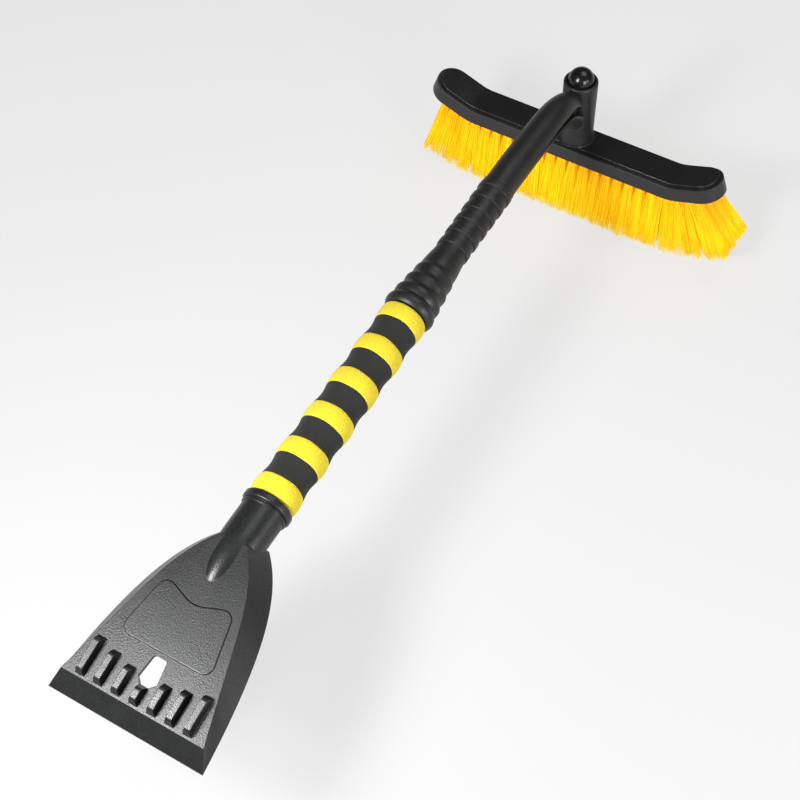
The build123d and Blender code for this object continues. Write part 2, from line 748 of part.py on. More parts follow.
def tuft_places():
    """Root plane of each tuft, row by row: Z points out of the block along the bristles."""
    depth = cover_thickness + block_thickness
    rows = []
    for row in range(tuft_rows):
        across = row - (tuft_rows - 1) / 2
        row_lean = radians(tuft_row_fan * across)
        planes = []
        for column in range(tuft_columns):
            along = (column - (tuft_columns - 1) / 2) * tuft_column_pitch
            lean = tuft_lean(along)
            direction = Vector(sin(row_lean), cos(row_lean) * sin(lean), -cos(row_lean) * cos(lean))
            origin = surface_point(along, depth) + Vector(across * tuft_row_pitch, 0, 0)
            planes.append(Plane(origin=origin, x_dir=Vector(0, cos(lean), sin(lean)), z_dir=direction))
        rows.append(planes)
    return rows


def make_bristle_row(planes):
    """One row of tufts, each a bundle that starts in its hole and flares to its tip."""
    tufts = []
    for plane in planes:
        root = plane.offset(tuft_gap - tuft_hole_depth) * Circle(tuft_root_diameter / 2)
        mouth = plane.offset(tuft_straight) * Circle(tuft_root_diameter / 2)
        tip = plane.offset(tuft_free_length) * Ellipse(tuft_tip_length / 2, tuft_tip_width / 2)
        tufts.append(loft([root.face(), mouth.face()]) + loft([mouth.face(), tip.face()]))
    return Compound(children=tufts)


def make_brush_back(rows):
    corner = back_width / 2 - end_round_margin
    block = bent_slab(cover_thickness, cover_thickness + block_thickness, 0, back_width, corner)
    hub_top = -bulkhead_depth - bulkhead_thickness - axial_clearance
    hub = disc(hub_diameter / 2, back_top - cover_thickness - 1, hub_top)
    neck = disc(neck_diameter / 2, hub_top - 1, spindle_seat)
    pilot = disc(pivot_screw_shank / 2, spindle_seat - pivot_screw_bite, 0)
    shape = block + hub + neck - pilot
    hole = disc(tuft_root_diameter / 2, -tuft_hole_depth, tuft_straight)
    for planes in rows:
        for plane in planes:
            shape -= plane * hole
    return shape


def make_brush_cover():
    corner = back_width / 2 - cover_inset - end_round_margin
    cover = bent_slab(0, cover_thickness, cover_inset, back_width - 2 * cover_inset, corner)
    boss = disc(sleeve_foot_radius + boss_margin, back_top, back_top + boss_height)
    return cover + boss - disc(hub_diameter / 2, back_top - cover_thickness - 1, back_top + boss_height + 1)


if __name__ == "__main__":
    os.makedirs("parts", exist_ok=True)
    nodes = {
        "scraper_head": make_scraper_head(),
        "handle_tube": make_handle_tube(),
        "head_screw": make_head_screw(),
        "tube_plug": make_tube_plug(),
        "snap_button": make_snap_button(),
        "snap_spring": make_snap_spring(),
        "brush_handle": make_brush_handle(),
        "push_button": place_on_post(make_push_button()),
        "hex_spindle": place_on_post(make_hex_spindle()),
        "pivot_screw": place_on_post(make_pivot_screw()),
        "lock_gear": place_on_post(make_lock_gear()),
        "lock_spring": place_on_post(make_lock_spring()),
        "brush_cover": place_on_post(make_brush_cover()),
    }
    station = -grip_end
    for index in range(yellow_band_count):
        last = index == yellow_band_count - 1
        band = foam_band(station, station + yellow_band_length, index == 0, last)
        nodes[f"grip_yellow_{index + 1}"] = band
        station += yellow_band_length
        if not last:
            nodes[f"grip_black_{index + 1}"] = foam_band(station, station + black_band_length)
            station += black_band_length
    tuft_rows_placed = tuft_places()
    nodes["brush_back"] = place_on_post(make_brush_back(tuft_rows_placed))
    for index, planes in enumerate(tuft_rows_placed):
        nodes[f"bristle_row_{index + 1}"] = place_on_post(make_bristle_row(planes))
    for name, shape in nodes.items():
        export_step(shape, f"parts/{name}.step")
        print(name, round(shape.volume, 1), shape.is_valid)
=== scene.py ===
import json
from math import cos, pi, tau

import bmesh
import bpy
import numpy as np
from bpy.props import FloatProperty, FloatVectorProperty, IntProperty, PointerProperty
from mathutils import Matrix, Vector


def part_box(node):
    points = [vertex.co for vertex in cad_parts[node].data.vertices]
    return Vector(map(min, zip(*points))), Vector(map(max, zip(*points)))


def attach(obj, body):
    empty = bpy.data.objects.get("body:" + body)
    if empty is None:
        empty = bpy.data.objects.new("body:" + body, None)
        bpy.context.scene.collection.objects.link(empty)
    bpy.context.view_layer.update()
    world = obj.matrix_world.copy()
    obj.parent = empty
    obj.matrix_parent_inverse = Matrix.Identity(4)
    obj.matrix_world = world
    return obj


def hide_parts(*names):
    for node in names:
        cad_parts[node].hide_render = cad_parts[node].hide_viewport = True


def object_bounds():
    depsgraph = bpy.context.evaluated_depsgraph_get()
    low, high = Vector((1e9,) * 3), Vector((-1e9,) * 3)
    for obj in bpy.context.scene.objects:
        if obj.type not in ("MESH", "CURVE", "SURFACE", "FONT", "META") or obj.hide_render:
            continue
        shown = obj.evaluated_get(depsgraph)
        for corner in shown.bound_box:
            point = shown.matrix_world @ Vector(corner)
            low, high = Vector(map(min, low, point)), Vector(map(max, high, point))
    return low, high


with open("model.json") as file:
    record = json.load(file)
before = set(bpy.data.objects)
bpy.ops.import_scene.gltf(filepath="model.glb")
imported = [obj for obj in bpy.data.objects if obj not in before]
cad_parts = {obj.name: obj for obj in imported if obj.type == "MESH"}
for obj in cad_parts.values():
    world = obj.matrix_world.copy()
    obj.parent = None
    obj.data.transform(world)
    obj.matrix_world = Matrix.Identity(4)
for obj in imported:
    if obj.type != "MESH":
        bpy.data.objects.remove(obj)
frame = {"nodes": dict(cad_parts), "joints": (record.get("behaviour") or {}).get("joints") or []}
cad_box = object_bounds()

bl_info = {
    "name": "Snow brush and ice scraper",
    "version": (1, 0, 0),
    "blender": (4, 5, 0),
    "location": "3D View > Sidebar > Snow Tool",
    "description": "Dresses the packed snow tool: moulded parts, foam grip, bristles and studio",
    "category": "Object",
}

SWIVEL = next(joint for joint in frame["joints"] if joint["name"] == "head_swivel")
POST_UP = Vector(SWIVEL["axis"]).normalized()
YELLOW_BANDS = sorted(name for name in frame["nodes"] if name.startswith("grip_yellow_"))
BLACK_BANDS = sorted(name for name in frame["nodes"] if name.startswith("grip_black_"))
BRISTLE_ROWS = sorted(name for name in frame["nodes"] if name.startswith("bristle_row_"))


# ---------------------------------------------------------------------------------------
# Settings shown in the sidebar
# ---------------------------------------------------------------------------------------

def colour_setting(label, text, value):
    return FloatVectorProperty(name=label, description=text, default=value, subtype="COLOR",
                               size=3, min=0.0, max=1.0)


def length_setting(label, text, value):
    return FloatProperty(name=label, description=text, default=value, subtype="DISTANCE",
                         unit="LENGTH", precision=5, min=0.0)


def share_setting(label, text, value):
    return FloatProperty(name=label, description=text, default=value, subtype="FACTOR", min=0.0, max=1.0)


class MouldedFinish(bpy.types.PropertyGroup):
    """Black moulded plastics"""
    scraper_colour: colour_setting("Scraper", "Black of the grained scraper head", (0.0050, 0.0054, 0.0053))
    handle_colour: colour_setting("Handle", "Black of the brush handle", (0.0060, 0.0060, 0.0058))
    block_colour: colour_setting("Block", "Black of the brush block", (0.0075, 0.0076, 0.0074))
    cover_colour: colour_setting("Cover", "Black of the smooth brush cover", (0.0085, 0.0085, 0.0085))
    button_colour: colour_setting("Button", "Black of the polished push button", (0.0035, 0.0038, 0.0038))
    grain_size: length_setting("Grain", "Width of one pebble of the moulded grain", 0.0010)
    grain_depth: length_setting("Grain depth", "Height of the moulded grain", 0.00010)
    edge_radius: length_setting("Edge radius", "Rounding that catches the light on moulded edges", 0.0005)


class MetalFinish(bpy.types.PropertyGroup):
    """Tube, screws and springs"""
    steel_colour: colour_setting("Steel", "Zinc-plated steel", (0.58, 0.58, 0.60))
    tube_colour: colour_setting("Tube", "Powder coat on the tube", (0.015, 0.015, 0.016))
    nylon_colour: colour_setting("Nylon", "Inner plastic pieces", (0.035, 0.035, 0.036))


class GripFinish(bpy.types.PropertyGroup):
    """Laminated foam grip"""
    yellow: colour_setting("Yellow", "Yellow foam", (0.62, 0.49, 0.018))
    charcoal: colour_setting("Charcoal", "Dark foam", (0.0060, 0.0064, 0.0056))
    cell_size: length_setting("Cells", "Width of one foam cell", 0.0010)
    seam_depth: length_setting("Seam", "Depth of the crease where two bands are bonded", 0.00035)
    seam_width: length_setting("Seam width", "How far the crease reaches into a band", 0.0011)
    seam_wander: length_setting("Seam wander", "How far a seam strays from a true circle", 0.00018)
    end_round: length_setting("End round", "Rounding of the grip's two ends", 0.0022)


class BristleShape(bpy.types.PropertyGroup):
    """Bristle tufts"""
    strands: IntProperty(name="Strands", description="Strands in one tuft", default=230, min=8, max=300)
    locks: IntProperty(name="Locks", description="Locks that a tuft parts into", default=5, min=1, max=12)
    gather: share_setting("Gather", "How strongly strands draw together into locks", 0.26)
    flare: FloatProperty(name="Flare", description="Spread of a tip across the brush, against the CAD tuft's",
                         default=1.3, min=0.5, max=2.0)
    overlap: FloatProperty(name="Overlap", description="Least half width of a tip, against the tuft spacing",
                           default=0.92, min=0.3, max=1.5)
    thickness: length_setting("Thickness", "Width of one strand at its root", 0.00048)
    sway: length_setting("Sway", "How far a strand's tip strays sideways", 0.0010)
    uneven: length_setting("Unevenness", "How much the strands' lengths differ", 0.0017)
    # Roots: painted shade, the deeper orange standing in for the shade deep in the brush.
    root_shade_colour: colour_setting("Roots", "Colour in the depth of the brush", (0.94, 0.39, 0.001))
    middle_colour: colour_setting("Middle", "Colour of the open strands", (1.0, 0.665, 0.003))
    tip_colour: colour_setting("Tips", "Colour of the frayed tips", (1.0, 0.78, 0.016))
    # Painted glow: emission in the filament's own colours, standing in for light that passes through the
    # filaments.
    painted_glow: share_setting("Glow", "Light that passes through the filaments instead of stopping at them", 0.16)
    seed: IntProperty(name="Seed", description="Seed of the random draws", default=11)


class StudioSetup(bpy.types.PropertyGroup):
    """Floor, lights and camera"""
    floor_colour: colour_setting("Floor", "Pale floor", (0.13, 0.13, 0.13))
    floor_glow: FloatProperty(name="Floor glow", description="Light that the floor gives off by itself",
                              default=0.67, min=0.0, max=2.0)
    floor_size: FloatProperty(name="Floor size", description="Width of the floor", default=40.0,
                              subtype="DISTANCE", unit="LENGTH")
    sky: FloatProperty(name="Sky", description="Strength of the even studio light", default=0.12, min=0.0)
    lens: FloatProperty(name="Lens", description="Focal length in millimetres on a 36 mm sensor",
                        default=72.4, min=10.0)


# ---------------------------------------------------------------------------------------
# Shader node groups
# ---------------------------------------------------------------------------------------

def new_group(name, inputs, outputs):
    """An empty shader group with named sockets, and its input and output nodes."""
    group = bpy.data.node_groups.new(name, "ShaderNodeTree")
    for label, kind, value in inputs:
        socket = group.interface.new_socket(name=label, in_out="INPUT", socket_type=kind)
        socket.default_value = value
    for label, kind in outputs:
        group.interface.new_socket(name=label, in_out="OUTPUT", socket_type=kind)
    return group, group.nodes.new("NodeGroupInput"), group.nodes.new("NodeGroupOutput")


def add(tree, kind, inputs=None, **settings):
    """Adds a node, sets its settings, and sets or links the inputs named."""
    node = tree.nodes.new(kind)
    for key, value in settings.items():
        setattr(node, key, value)
    for key, value in (inputs or {}).items():
        if isinstance(value, bpy.types.NodeSocket):
            tree.links.new(value, node.inputs[key])
        else:
            node.inputs[key].default_value = value
    return node


def calc(tree, operation, *values):
    node = add(tree, "ShaderNodeMath", {i: v for i, v in enumerate(values)}, operation=operation)
    return node.outputs[0]


def mix_colour(tree, factor, first, second, blend="MIX"):
    node = add(tree, "ShaderNodeMix", data_type="RGBA", blend_type=blend)
    for socket, value in zip((node.inputs[0], node.inputs[6], node.inputs[7]), (factor, first, second)):
        if isinstance(value, bpy.types.NodeSocket):
            tree.links.new(value, socket)
        else:
            socket.default_value = value if socket.type == "VALUE" else (*value, 1.0)[:4]
    return node.outputs[2]


def remap(tree, value, low, high, new_low=0.0, new_high=1.0):
    node = add(tree, "ShaderNodeMapRange", {"Value": value, "From Min": low, "From Max": high,
                                            "To Min": new_low, "To Max": new_high})
    return node.outputs[0]


def object_point(tree):
    return add(tree, "ShaderNodeTexCoord").outputs["Object"]


def make_grain_group():
    """Pebbled mould grain: its height, a soft mottle several pebbles wide, and a mask of fine flecks for
    painted glints.
    """
    tree, given, made = new_group(
        "Mould grain",
        [("Pebble", "NodeSocketFloat", 0.001), ("Mottle size", "NodeSocketFloat", 0.02)],
        [("Height", "NodeSocketFloat"), ("Mottle", "NodeSocketFloat"), ("Glint speckle", "NodeSocketFloat")])
    pebble_weight, fine_scale, glint_scale = 0.7, 0.8, 1.3
    point = object_point(tree)
    per_metre = calc(tree, "DIVIDE", 1.0, given.outputs["Pebble"])
    cells = add(tree, "ShaderNodeTexVoronoi", {"Vector": point, "Scale": per_metre, "Randomness": 0.9})
    fine = add(tree, "ShaderNodeTexNoise", {"Vector": point, "Detail": 3.0, "Roughness": 0.6})
    tree.links.new(calc(tree, "MULTIPLY", per_metre, fine_scale), fine.inputs["Scale"])
    pebbles = calc(tree, "MULTIPLY", cells.outputs["Distance"], pebble_weight)
    tree.links.new(calc(tree, "SUBTRACT", fine.outputs[0], pebbles), made.inputs["Height"])
    wide = add(tree, "ShaderNodeTexNoise", {"Vector": point, "Detail": 4.0, "Roughness": 0.55})
    tree.links.new(calc(tree, "DIVIDE", 1.0, given.outputs["Mottle size"]), wide.inputs["Scale"])
    tree.links.new(wide.outputs[0], made.inputs["Mottle"])
    # Painted glints: a mask of paler flecks about a pebble wide, standing in for light glinting off the
    # grain.
    glint_flecks = add(tree, "ShaderNodeTexNoise", {"Vector": point, "Detail": 2.0, "Roughness": 0.7})
    tree.links.new(calc(tree, "MULTIPLY", per_metre, glint_scale), glint_flecks.inputs["Scale"])
    tree.links.new(remap(tree, glint_flecks.outputs[0], 0.42, 0.72), made.inputs["Glint speckle"])
    return tree


def make_edge_group():
    """The rounded normal of a moulded edge, and a mask of where the edge turns."""
    flat_turn, full_turn = 0.999, 0.86
    tree, given, made = new_group(
        "Moulded edge",
        [("Radius", "NodeSocketFloat", 0.001)],
        [("Normal", "NodeSocketVector"), ("Edge", "NodeSocketFloat")])
    rounded = add(tree, "ShaderNodeBevel", {"Radius": given.outputs["Radius"]}, samples=6)
    flat = add(tree, "ShaderNodeNewGeometry")
    turn = add(tree, "ShaderNodeVectorMath", {0: rounded.outputs[0], 1: flat.outputs["Normal"]},
               operation="DOT_PRODUCT")
    tree.links.new(rounded.outputs[0], made.inputs["Normal"])
    tree.links.new(remap(tree, turn.outputs["Value"], flat_turn, full_turn), made.inputs["Edge"])
    return tree


def make_polish_and_highlight_group():
    """A patchy mask of what is rubbed smooth and given a painted highlight: full above a height along a
    direction, fading below it.
    """
    least_patch = 0.45
    tree, given, made = new_group(
        "Polished and lit high spots",
        [("Direction", "NodeSocketVector", (0.0, 0.0, 1.0)), ("Height", "NodeSocketFloat", 1.0),
         ("Fade", "NodeSocketFloat", 0.001)],
        [("Mask", "NodeSocketFloat")])
    travel = add(tree, "ShaderNodeVectorMath", {0: object_point(tree), 1: given.outputs["Direction"]},
                 operation="DOT_PRODUCT")
    above = calc(tree, "SUBTRACT", travel.outputs["Value"], given.outputs["Height"])
    share = calc(tree, "ADD", calc(tree, "DIVIDE", above, given.outputs["Fade"]), 1.0)
    patches = add(tree, "ShaderNodeTexNoise", {"Vector": object_point(tree), "Scale": 500.0, "Detail": 4.0})
    uneven = remap(tree, patches.outputs[0], 0.35, 0.6, least_patch, 1.0)
    clamped = add(tree, "ShaderNodeClamp", {"Value": share})
    tree.links.new(calc(tree, "MULTIPLY", clamped.outputs[0], uneven), made.inputs["Mask"])
    return tree


def make_foam_group():
    """Closed-cell foam: pitted skin height and a faint cloudiness."""
    tree, given, made = new_group(
        "Foam cells",
        [("Cell", "NodeSocketFloat", 0.0006)],
        [("Height", "NodeSocketFloat"), ("Pits", "NodeSocketFloat"), ("Cloud", "NodeSocketFloat")])
    pit_weight, fuzz_scale = 0.5, 0.5
    point = object_point(tree)
    per_metre = calc(tree, "DIVIDE", 1.0, given.outputs["Cell"])
    cells = add(tree, "ShaderNodeTexVoronoi", {"Vector": point, "Scale": per_metre, "Randomness": 1.0})
    pits = remap(tree, cells.outputs["Distance"], 0.15, 0.75)
    fuzz = add(tree, "ShaderNodeTexNoise", {"Vector": point, "Detail": 4.0, "Roughness": 0.65})
    tree.links.new(calc(tree, "MULTIPLY", per_metre, fuzz_scale), fuzz.inputs["Scale"])
    height = calc(tree, "ADD", calc(tree, "MULTIPLY", pits, pit_weight), fuzz.outputs[0])
    tree.links.new(height, made.inputs["Height"])
    tree.links.new(pits, made.inputs["Pits"])
    cloud = add(tree, "ShaderNodeTexNoise", {"Vector": point, "Scale": 90.0, "Detail": 3.0})
    tree.links.new(cloud.outputs[0], made.inputs["Cloud"])
    return tree


def make_strand_group():
    """Distance down the bristles from the block, and streaks that run along them."""
    tree, given, made = new_group(
        "Bristle strands",
        [("Root height", "NodeSocketFloat", 0.0), ("Tip height", "NodeSocketFloat", -0.05)],
        [("Along", "NodeSocketFloat"), ("Streak", "NodeSocketFloat"), ("Clump", "NodeSocketFloat")])
    long_grain = (1.0, 1.0, 0.05)
    point = object_point(tree)
    height = add(tree, "ShaderNodeVectorMath", {0: point, 1: POST_UP}, operation="DOT_PRODUCT")
    along = add(tree, "ShaderNodeMapRange", {"Value": height.outputs["Value"],
                                             "From Min": given.outputs["Root height"],
                                             "From Max": given.outputs["Tip height"]})
    tree.links.new(along.outputs[0], made.inputs["Along"])
    flattened = add(tree, "ShaderNodeVectorMath", {0: point, 1: long_grain}, operation="MULTIPLY")
    streak = add(tree, "ShaderNodeTexNoise", {"Vector": flattened.outputs[0], "Scale": 900.0, "Detail": 2.0})
    tree.links.new(remap(tree, streak.outputs[0], 0.3, 0.7), made.inputs["Streak"])
    clump = add(tree, "ShaderNodeTexNoise", {"Vector": flattened.outputs[0], "Scale": 120.0, "Detail": 2.0})
    tree.links.new(remap(tree, clump.outputs[0], 0.35, 0.65), made.inputs["Clump"])
    return tree


GROUP_MAKERS = {"Mould grain": make_grain_group, "Moulded edge": make_edge_group,
                "Polished and lit high spots": make_polish_and_highlight_group, "Foam cells": make_foam_group,
                "Bristle strands": make_strand_group}


# ---------------------------------------------------------------------------------------
# Materials
# ---------------------------------------------------------------------------------------

def new_material(name, constants):
    """A material with a Principled shader whose constant sockets are set."""
    material = bpy.data.materials.new(name)
    material.use_nodes = True
    shader = material.node_tree.nodes["Principled BSDF"]
    for key, value in constants.items():
        shader.inputs[key].default_value = value
    return material, material.node_tree, shader


def place_group(tree, name, values):
    """Places a shared node group in a material with the material's own values."""
    group = bpy.data.node_groups.get(name) or GROUP_MAKERS[name]()
    return add(tree, "ShaderNodeGroup", values, node_tree=group)


def scaled(colour, share, lift=0.0):
    """A colour made darker or paler."""
    return tuple(min(1.0, channel * share + lift) for channel in colour)


def add_bump(tree, shader, height, strength, distance, normal=None):
    """Lets a height act on the shader's normal, over a normal given or the mesh's own."""
    inputs = {"Strength": strength, "Distance": distance, "Height": height}
    if normal:
        inputs["Normal"] = normal
    tree.links.new(add(tree, "ShaderNodeBump", inputs).outputs[0], shader.inputs["Normal"])


def moulded_plastic(name, colour, roughness, pebble, depth, edge_radius, glint_speckle=0.0, edge_highlight=0.35, high=None):
    """Injection-moulded plastic: grain, mottled gloss, paler flecks as painted glints, and softly rounded
    edges made slightly paler as a painted highlight.

    high is the direction and height above which the surface is rubbed smooth and painted paler as a
    highlight.
    """
    gloss_swing, rub_fade, top_highlight_share, rub_gloss, top_highlight_pale = 0.03, 0.0008, 0.8, 0.08, 0.045
    material, tree, shader = new_material(name, {"Specular IOR Level": 0.36})
    grain = place_group(tree, "Mould grain", {"Pebble": pebble, "Mottle size": 0.018})
    edge = place_group(tree, "Moulded edge", {"Radius": edge_radius})
    pale = scaled(colour, 2.5, lift=0.012)
    base = mix_colour(tree, grain.outputs["Mottle"], scaled(colour, 0.8), colour)
    # Painted glints: paler flecks mixed into the base colour.
    glinted = mix_colour(tree, calc(tree, "MULTIPLY", grain.outputs["Glint speckle"], glint_speckle), base, pale)
    # Painted highlight: the moulded edges are made paler where the rounded edge turns.
    highlighted = mix_colour(tree, calc(tree, "MULTIPLY", edge.outputs["Edge"], edge_highlight), glinted, pale)
    uneven = remap(tree, grain.outputs["Mottle"], 0.3, 0.7, roughness - gloss_swing, roughness + gloss_swing)
    if high:
        direction, height = high
        polish_and_highlight = place_group(tree, "Polished and lit high spots", {"Direction": direction, "Height": height,
                                                           "Fade": rub_fade})
        mask = polish_and_highlight.outputs["Mask"]
        # Painted highlight: the teeth's tops are made paler, as if catching the light. The lower roughness
        # below is their real gloss.
        highlighted = mix_colour(tree, calc(tree, "MULTIPLY", mask, top_highlight_share), highlighted, scaled(colour, 1.0, top_highlight_pale))
        uneven = calc(tree, "SUBTRACT", uneven, calc(tree, "MULTIPLY", mask, rub_gloss))
    tree.links.new(highlighted, shader.inputs["Base Color"])
    tree.links.new(uneven, shader.inputs["Roughness"])
    add_bump(tree, shader, grain.outputs["Height"], 0.7, depth, normal=edge.outputs["Normal"])
    return material


def plated_steel(name, colour):
    """Zinc-plated steel with fine drawn lines and clouded plating."""
    material, tree, shader = new_material(name, {"Metallic": 1.0})
    grain = place_group(tree, "Mould grain", {"Pebble": 0.0004, "Mottle size": 0.003})
    clouded = mix_colour(tree, grain.outputs["Mottle"], scaled(colour, 0.75), colour)
    tree.links.new(clouded, shader.inputs["Base Color"])
    tree.links.new(remap(tree, grain.outputs["Mottle"], 0.3, 0.7, 0.26, 0.4), shader.inputs["Roughness"])
    add_bump(tree, shader, grain.outputs["Height"], 0.3, 0.00003)
    return material


def foam(name, colour, cell, pit_shade, cloud_shade):
    """Closed-cell foam skin: pits and clouds are the colour times their own shades."""
    material, tree, shader = new_material(name, {"Sheen Weight": 0.05, "Sheen Roughness": 0.6,
                                                 "Specular IOR Level": 0.25})
    cells = place_group(tree, "Foam cells", {"Cell": cell})
    base = mix_colour(tree, cells.outputs["Pits"], colour, scaled(colour, pit_shade))
    cloudy = remap(tree, cells.outputs["Cloud"], 0.35, 0.7, 0.0, 0.5)
    clouded = mix_colour(tree, cloudy, base, scaled(colour, cloud_shade))
    tree.links.new(clouded, shader.inputs["Base Color"])
    tree.links.new(remap(tree, cells.outputs["Pits"], 0.0, 1.0, 0.72, 0.9), shader.inputs["Roughness"])
    add_bump(tree, shader, cells.outputs["Height"], 0.9, 0.00028)
    return material


def bristle_filament(name, shape, root_height, tip_height):
    """Dyed filament: painted shade of deep orange between the roots, warm yellow outside, paler frayed tips.
    """
    clump_share, streak_share = 0.30, 0.35
    material, tree, shader = new_material(name, {"Specular IOR Level": 0.16})
    strands = place_group(tree, "Bristle strands", {"Root height": root_height, "Tip height": tip_height})
    # Painted shade: deep orange at the roots, opening to the middle colour 45 % of the way down.
    opened = remap(tree, strands.outputs["Along"], 0.0, 0.45)
    depth_shaded = mix_colour(tree, opened, shape.root_shade_colour, shape.middle_colour)
    clumped = calc(tree, "MULTIPLY", strands.outputs["Clump"], clump_share)
    shaded = mix_colour(tree, clumped, depth_shaded, shape.root_shade_colour)
    streaks = calc(tree, "MULTIPLY", strands.outputs["Streak"], streak_share)
    streaked = mix_colour(tree, streaks, shaded, shape.tip_colour)
    frayed = remap(tree, strands.outputs["Along"], 0.80, 1.05)
    dyed_and_shaded = mix_colour(tree, frayed, streaked, shape.tip_colour)
    tree.links.new(dyed_and_shaded, shader.inputs["Base Color"])
    # Painted glow: the filament's colour is also emitted, though the bristles are no lamp.
    tree.links.new(dyed_and_shaded, shader.inputs["Emission Color"])
    shader.inputs["Emission Strength"].default_value = shape.painted_glow
    tree.links.new(remap(tree, strands.outputs["Streak"], 0.0, 1.0, 0.42, 0.58), shader.inputs["Roughness"])
    add_bump(tree, shader, strands.outputs["Streak"], 0.2, 0.00005)
    return material


def tooth_tops():
    """Direction square to the scraper's plate, and how far along it the teeth's tops lie."""
    mesh = frame["nodes"]["scraper_head"].data
    pad = max((face for face in mesh.polygons if face.normal.z > 0.9), key=lambda face: face.area)
    blade_side = [vert.co.dot(pad.normal) for vert in mesh.vertices if vert.co.x < pad.center.x]
    return tuple(pad.normal), max(blade_side)


def give(node, material):
    """Puts a material on a carried-over CAD node."""
    for slot in frame["nodes"][node].material_slots:
        slot.link = "OBJECT"
        slot.material = material


# ---------------------------------------------------------------------------------------
# Meshes
# ---------------------------------------------------------------------------------------

def mesh_piece(name, points, faces, material):
    """A smooth-shaded mesh object in the scene."""
    mesh = bpy.data.meshes.new(name)
    mesh.from_pydata([tuple(point) for point in points], [], [tuple(face) for face in faces])
    mesh.shade_smooth()
    mesh.materials.append(material)
    piece = bpy.data.objects.new(name, mesh)
    bpy.context.scene.collection.objects.link(piece)
    return piece


def ring_faces(rings, around, closed_loop=False):
    """Quads between rings of equal point counts, and from the last ring to the first if closed."""
    faces = []
    last = rings if closed_loop else rings - 1
    for ring in range(last):
        for step in range(around):
            a = ring * around + step
            b = ring * around + (step + 1) % around
            c = (ring + 1) % rings * around + (step + 1) % around
            d = (ring + 1) % rings * around + step
            faces.append((a, b, c, d))
    return faces


# ---------------------------------------------------------------------------------------
# Foam grip
# ---------------------------------------------------------------------------------------

class GripWave:
    """The foam's wavy outside, read from the boxes of the plain CAD bands."""

    def __init__(self):
        first_low, first_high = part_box(YELLOW_BANDS[0])
        second_low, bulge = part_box(YELLOW_BANDS[1])
        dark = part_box(BLACK_BANDS[0])[1]
        self.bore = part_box("handle_tube")[1].y
        self.first_middle = (first_low.x + first_high.x) / 2
        self.period = (second_low.x + bulge.x) / 2 - self.first_middle
        half_turn = pi * (bulge.x - second_low.x) / self.period
        self.swing = (bulge.y - dark.y) / (1 - cos(half_turn))
        self.mean = bulge.y - self.swing

    def radius(self, x):
        return self.mean + self.swing * np.cos(tau * (x - self.first_middle) / self.period)


def seam_path(x, angle, wander):
    """Station of a seam round the grip: not quite a true circle, and different at each seam."""
    phase = x * 1000.0
    slow, quick = np.sin(2 * angle + phase), np.sin(5 * angle + 1.7 * phase)
    return x + wander * (slow + 0.6 * quick)


def foam_band(node, wave, finish, material, round_low=False, round_high=False):
    """One band of foam as a closed tube, its seams slightly creased and not perfectly round.

    A rounded end is the grip's own end: it is a true circle and has no seam.
    """
    around, along = 144, 26
    low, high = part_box(node)
    angle = np.linspace(0, tau, around, endpoint=False)
    start = seam_path(low.x, angle, 0.0 if round_low else finish.seam_wander)
    end = seam_path(high.x, angle, 0.0 if round_high else finish.seam_wander)
    rings = []
    for share in (1 - np.cos(np.linspace(0, pi, along))) / 2:
        x = start + (end - start) * share
        radius = wave.radius(x)
        for edge, rounded in ((np.abs(x - low.x), round_low), (np.abs(high.x - x), round_high)):
            reach = finish.end_round if rounded else finish.seam_width
            depth = finish.end_round if rounded else finish.seam_depth
            inside = np.clip(1 - edge / reach, 0, 1)
            radius = radius - depth * (1 - np.sqrt(1 - inside ** 2) if rounded else inside ** 2)
        rings.append(np.stack([x, radius * np.cos(angle), radius * np.sin(angle)], axis=1))
    for x in (end, start):
        rings.append(np.stack([x, wave.bore * np.cos(angle), wave.bore * np.sin(angle)], axis=1))
    faces = ring_faces(len(rings), around, closed_loop=True)
    name = node.replace("grip_", "foam_")
    piece = mesh_piece(name, np.concatenate(rings), [face[::-1] for face in faces], material)
    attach(piece, "scraper")
    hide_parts(node)
    return piece


# ---------------------------------------------------------------------------------------
# Bristles
# ---------------------------------------------------------------------------------------

def separate_tufts(node):
    """The points of each tuft of a CAD bristle row, as arrays."""
    shape = bmesh.new()
    shape.from_mesh(frame["nodes"][node].data)
    bmesh.ops.remove_doubles(shape, verts=shape.verts, dist=1e-6)
    left = set(shape.verts)
    tufts = []
    while left:
        stack = [left.pop()]
        found = []
        while stack:
            vert = stack.pop()
            found.append(vert.co[:])
            for edge in vert.link_edges:
                other = edge.other_vert(vert)
                if other in left:
                    left.remove(other)
                    stack.append(other)
        tufts.append(np.array(found))
    shape.free()
    return sorted(tufts, key=lambda points: points[:, 1].mean())


class Tuft:
    """Root, tip and cross-section of one plain CAD tuft."""

    end_share = 0.10

    def __init__(self, points):
        centre = points.mean(axis=0)
        direction = np.linalg.svd(points - centre, full_matrices=False)[2][0]
        direction = direction * (-1 if direction @ np.array(POST_UP) > 0 else 1)
        for _ in range(3):
            travel = (points - centre) @ direction
            reach = (travel.max() - travel.min()) * self.end_share
            near, far = points[travel < travel.min() + reach], points[travel > travel.max() - reach]
            root, tip = (near.min(axis=0) + near.max(axis=0)) / 2, (far.min(axis=0) + far.max(axis=0)) / 2
            direction = (tip - root) / np.linalg.norm(tip - root)
        self.direction = direction
        travel = (points - root) @ direction
        self.root = root + direction * travel.min()
        self.length = travel.max() - travel.min()
        self.tip = self.root + direction * self.length
        along = np.array([0.0, 1.0, 0.0]) - direction * direction[1]
        self.along = along / np.linalg.norm(along)
        self.across = np.cross(direction, self.along)
        self.root_half = np.ptp((near - root) @ self.along) / 2
        self.tip_half = (np.ptp((far - tip) @ self.along) / 2, np.ptp((far - tip) @ self.across) / 2)


